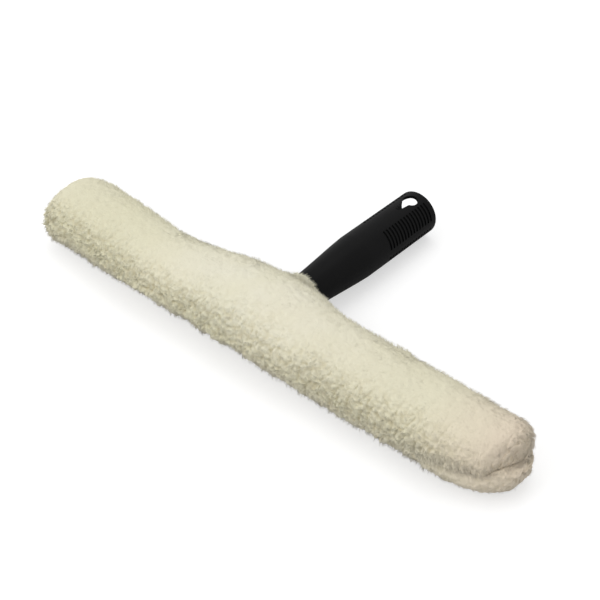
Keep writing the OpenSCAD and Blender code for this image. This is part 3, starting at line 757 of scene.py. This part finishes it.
stitch_half_arc, stitch_pitch = math.radians(50), 1.6
stitch = bent(0.2, 2 * stitch_half_arc, 6, 6)
stitch_sunk = math.cos(stitch_half_arc)
seam_t, seam_y, seam_from, seam_to, slit_half, end_seam_x, end_seam_half = 0.9, 15.35, -146.85, 99.0, 49.0, -156.2, 9.66
seams = [("front_seam", 4.0, [((seam_from, -seam_y), (seam_to, -seam_y))]),
         ("back_seam", 4.0, [((seam_from, seam_y), (-slit_half, seam_y)), ((slit_half, seam_y), (seam_to, seam_y))]),
         ("end_seam", 2.0, [((end_seam_x, -end_seam_half), (end_seam_x, end_seam_half))])]
for node, seam_h, runs in seams:
    bm = bmesh.new()
    places, forward, upward = [], [], []
    for start, end in runs:
        start, end = np.array([*start, 0.0]), np.array([*end, 0.0])
        length, way = np.linalg.norm(end - start), unit(end - start)
        across = np.array([-way[1], way[0], 0.0])
        core = bmesh.ops.create_cube(bm, size=1.0)["verts"]
        bmesh.ops.scale(bm, verts=core, vec=(length, seam_t, seam_h))
        bmesh.ops.rotate(bm, verts=core, cent=(0, 0, 0), matrix=Matrix.Rotation(math.atan2(way[1], way[0]), 3, "Z"))
        bmesh.ops.translate(bm, verts=core, vec=(start + end) / 2 + (0, bar_y, bar_z))
        for face in (-1, 1):
            at = np.arange(stitch_pitch / 2, length - stitch_pitch / 2, stitch_pitch)
            on_face = across * face * (seam_t / 2 - stitch_sunk * 0.55)
            places.append(start + way * at[:, None] + on_face + (0, bar_y, bar_z))
            forward.append(np.broadcast_to(np.array([0, 0, 1.0]) + way * 0.45 * face, (at.size, 3)))
            upward.append(np.broadcast_to(across * face, (at.size, 3)))
    bmesh.ops.bevel(bm, geom=bm.edges[:], offset=0.28, segments=3, profile=0.5, affect="EDGES", material=-1)
    bmesh.ops.scale(bm, verts=bm.verts, vec=(MM, MM, MM))
    bead = joined(bm, f"{node}_bead")
    loops = planted(f"{node}_loops", stitch, *(np.concatenate(part) for part in (places, forward, upward)),
                    (seam_h / 2 / math.sin(stitch_half_arc), 0.8, 0.55))
    dress(bead, bead_cloth)
    dress(loops, thread)
    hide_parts(node)
    for piece in (bead, loops):
        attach(piece, "root")

# Slit binding: a woven cream tape folded over the edge of the slit that the neck comes out of, and sewn down.
# It lies close round the neck, gathered a little, with small stitches all round.
binding, place = begin("binding_tape")
axes = Val.node("ShaderNodeSeparateXYZ", None, Vector=place).outputs
weft = Val.maths("SINE", Val(axes["Y"]) * 9000.0)
warp = Val.maths("SINE", (Val(axes["X"]) + Val(axes["Z"])) * 9000.0)
slub = noise(place, 1800, 2)
binding = finished(binding, blended(slub, (0.68, 0.65, 0.55), (0.84, 0.81, 0.71)), 0.82 + 0.1 * slub,
                   weft * 0.5 + warp * 0.5 + slub * 0.5, 0.00015, Specular_IOR_Level=0.2)
binding_at, binding_w, binding_t = 23.5, 3.5, 1.4
binding_r = neck_r + 0.3 + binding_t / 2
bm = bmesh.new()
bmesh.ops.create_grid(bm, x_segments=1, y_segments=1, size=0.5)
bmesh.ops.scale(bm, verts=bm.verts, vec=(binding_t, binding_w, 1))
bmesh.ops.bevel(bm, geom=bm.verts[:], offset=0.5, segments=4, profile=0.5, affect="VERTICES", material=-1)
bmesh.ops.delete(bm, geom=bm.faces[:], context="FACES_ONLY")
bmesh.ops.translate(bm, verts=bm.verts, vec=(binding_r, binding_at + binding_w / 2, 0))
bmesh.ops.spin(bm, geom=bm.verts[:] + bm.edges[:], cent=(0, 0, 0), axis=(0, 1, 0), angle=2 * math.pi, steps=120,
               use_merge=True)
bmesh.ops.recalc_face_normals(bm, faces=bm.faces)
for v in bm.verts:
    turn = math.atan2(v.co.z, v.co.x)
    v.co.y += 0.12 * math.sin(17 * turn) + 0.08 * math.sin(31 * turn + 1)
leant = Matrix.Translation((0, bar_y, bar_z)) @ Matrix.Rotation(-lean, 4, "X")
bmesh.ops.transform(bm, matrix=Matrix.Scale(MM, 4) @ leant, verts=bm.verts)
tape = joined(bm, "slit_binding_tape")
dress(tape, binding)
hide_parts("slit_binding")
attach(tape, "root")
hem_count, hem_in = 36, 1.1
turns = np.arange(hem_count) / hem_count * 2 * np.pi
tilt = np.array(Matrix.Rotation(-lean, 3, "X")).T
out, round_way = (np.stack(way, -1) for way in ((np.cos(turns), 0 * turns, np.sin(turns)),
                                                (-np.sin(turns), 0 * turns, np.cos(turns))))
edge = out * (binding_r + binding_t / 2 - 0.05) + (0, binding_at + hem_in, 0)
hem = planted("slit_binding_stitches", stitch, edge @ tilt + (0, bar_y, bar_z) - out @ tilt * stitch_sunk * 0.3,
              round_way @ tilt, out @ tilt, (0.9, 0.6, 0.35))
dress(hem, thread)
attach(hem, "root")

# Closure: a hook tape under the flap and a loop tape on the lower layer, each sewn down near its edge.
# The hooks are moulded nylon, the loops brushed polyester on a woven ground, and the thread is white.
loop_cloth, place = begin("loop_fabric")
axes = Val.node("ShaderNodeSeparateXYZ", None, Vector=place).outputs
plain_weave = Val.maths("SINE", Val(axes["X"]) * 10000.0) * Val.maths("SINE", Val(axes["Y"]) * 10000.0)
fuzz = noise(place, 1700, 3)
loop_cloth = finished(loop_cloth, blended(fuzz, (0.66, 0.63, 0.53), (0.84, 0.82, 0.74)), 0.86 + 0.1 * fuzz,
                      plain_weave + fuzz, 0.00012, Specular_IOR_Level=0.15)
nylon, place = begin("hook_nylon")
flow = noise(place, 900, 2)
nylon = finished(nylon, blended(flow, (0.60, 0.58, 0.50), (0.74, 0.72, 0.65)), 0.34 + 0.15 * flow, flow, 0.00004)
white, place = begin("stitch_thread")
ply = noise(place, 3600, 2)
white = finished(white, blended(ply, (0.78, 0.77, 0.72), (0.92, 0.91, 0.88)), 0.55 + 0.2 * ply, ply, 0.0001,
                 Specular_IOR_Level=0.3)
tape_w, tape_len, tape_t, web_t, sewn_in, tape_stitch_pitch, tape_from = 16.0, 28.0, 1.4, 0.7, 1.9, 2.2, 146.85
tape_middle = np.array([tape_from + tape_w / 2, bar_y, bar_z])
loop, loop_pitch = bent(0.13, math.radians(210), 4, 6), 0.78
hook, hook_pitch = bent(0.24, math.radians(215), 5, 7), 1.25
for kind, side, cloth, slot, pitch, under, body in (
        ("loop", -1, loop_cloth, "loop_fabric", loop_pitch, "lower_lining", "root"),
        ("hook", 1, nylon, "hook_nylon", hook_pitch, "upper_lining", "closure_flap")):
    bm = bmesh.new()
    bmesh.ops.create_grid(bm, x_segments=1, y_segments=1, size=0.5)
    bmesh.ops.scale(bm, verts=bm.verts, vec=(tape_w, tape_len, 1))
    bmesh.ops.bevel(bm, geom=bm.verts[:], offset=2.0, segments=6, profile=0.5, affect="VERTICES", material=-1)
    grown = bmesh.ops.extrude_face_region(bm, geom=bm.faces[:])["geom"]
    bmesh.ops.translate(bm, verts=[v for v in grown if isinstance(v, bmesh.types.BMVert)], vec=(0, 0, web_t))
    bmesh.ops.recalc_face_normals(bm, faces=bm.faces)
    bmesh.ops.bevel(bm, geom=bm.edges[:], offset=0.14, segments=2, profile=0.5, affect="EDGES", material=-1)
    web_bottom = layer_gap + tape_t - web_t if side > 0 else -layer_gap - tape_t
    bmesh.ops.translate(bm, verts=bm.verts, vec=tape_middle + (0, 0, web_bottom))
    bmesh.ops.scale(bm, verts=bm.verts, vec=(MM, MM, MM))
    web = joined(bm, f"{kind}_tape_web")
    face = tape_middle + (0, 0, side * (layer_gap + tape_t - web_t))
    towards = np.array([0, 0, -side * 1.0])
    spot_x, spot_y = (axis.ravel() for axis in np.meshgrid(np.arange(-5.6, 5.7, pitch), np.arange(-11.6, 11.7, pitch)))
    spots = np.stack([spot_x, spot_y, 0 * spot_x], -1)
    if kind == "loop":
        rng = np.random.default_rng(7)
        spots[:, :2] += rng.uniform(-0.3, 0.3, (len(spots), 2))
        ways = rng.normal(size=(len(spots), 3)) * (1, 1, 0.1)
        tops = towards + rng.normal(size=(len(spots), 3)) * 0.35
        field = planted("loop_tape_loops", loop, face + spots + towards * 0.05, ways, tops, (0.5, 0.5, 0.42))
    else:
        field = planted("hook_tape_hooks", hook, face + spots + towards * 0.2, np.array([0.8, 0.0, 0.6]),
                        np.array([0.6, 0.0, -0.8]), (0.3, 0.34, 0.38))
    half_x, half_y = tape_w / 2 - sewn_in, tape_len / 2 - sewn_in
    along_x, along_y = (np.arange(-half + tape_stitch_pitch / 2, half, tape_stitch_pitch) for half in (half_x, half_y))
    sides = [np.stack([np.full_like(along_y, end * half_x), along_y, 0 * along_y], -1) for end in (-1, 1)]
    ends = [np.stack([along_x, np.full_like(along_x, end * half_y), 0 * along_x], -1) for end in (-1, 1)]
    ways = np.concatenate([np.tile((0.0, 1.0, 0.0), (2 * along_y.size, 1)),
                           np.tile((1.0, 0.0, 0.0), (2 * along_x.size, 1))])
    sewn = planted(f"{kind}_tape_stitches", stitch, face + np.concatenate(sides + ends) - towards * stitch_sunk * 0.35,
                   ways, towards, (1.2, 0.9, 0.4))
    for piece, material, piece_slot in ((web, cloth, slot), (field, cloth, slot), (sewn, white, "stitch_thread")):
        dress(piece, material)
        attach(piece, body)
    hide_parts(f"{kind}_tape")
    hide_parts(f"{kind}_stitching")

# Studio: a white sweep under a soft lamp from above and behind, with a second one from the camera's left.
# The sweep shows the camera an even white, and keeps the shadow.
bm = bmesh.new()
bmesh.ops.create_grid(bm, x_segments=1, y_segments=1, size=6.0)
floor_mesh = bpy.data.meshes.new("floor")
bm.to_mesh(floor_mesh)
bm.free()
floor = linked("floor", floor_mesh)
paper = bpy.data.materials.new("paper")
empty_tree(paper)
seen = Val(Val.node("ShaderNodeLightPath").outputs["Is Camera Ray"])
matt = Val.node("ShaderNodeBsdfDiffuse", None, Color=(0.58, 0.58, 0.58, 1)).outputs[0]
shown = Val.node("ShaderNodeBsdfDiffuse", None, Color=(0.6, 0.6, 0.6, 1)).outputs[0]
glow = Val.node("ShaderNodeEmission", None, Color=(1, 1, 1, 1), Strength=0.53).outputs[0]
lit = Val.node("ShaderNodeAddShader", None, in0=Val(shown), in1=Val(glow)).outputs[0]
mixed = Val.node("ShaderNodeMixShader", None, in0=seen, in1=Val(matt), in2=Val(lit)).outputs[0]
Val.node("ShaderNodeOutputMaterial", None, Surface=Val(mixed))
dress(floor, paper)

scene.world = bpy.data.worlds.new("studio")
empty_tree(scene.world)
sky = Val.node("ShaderNodeBackground", None, Color=(1, 1, 1, 1), Strength=0.73).outputs[0]
Val.node("ShaderNodeOutputWorld", None, Surface=Val(sky))


def aimed(name, data, place, aim):
    """A lamp or the camera, at its place and turned towards aim."""
    made = linked(name, data)
    made.location, made.rotation_mode = place, "QUATERNION"
    made.rotation_quaternion = (Vector(place) - Vector(aim)).to_track_quat("Z", "Y")
    return made


for name, place, power in (("overhead", (-0.2, 0.3, 1.3), 3.0), ("front", (-0.45, -0.95, 0.75), 4.4)):
    lamp = bpy.data.lights.new(name, "AREA")
    lamp.shape, lamp.size, lamp.energy = "SQUARE", 0.9, power
    aimed(name, lamp, place, (0, 0, 0))

lens = bpy.data.cameras.new("camera")
lens.sensor_width, lens.lens = 36.0, 81.07
scene.camera = aimed("camera", lens, (0.39362, -0.47354, 0.5443), (-0.01117, -0.01433, 0))
scene.view_settings.view_transform = "Standard"
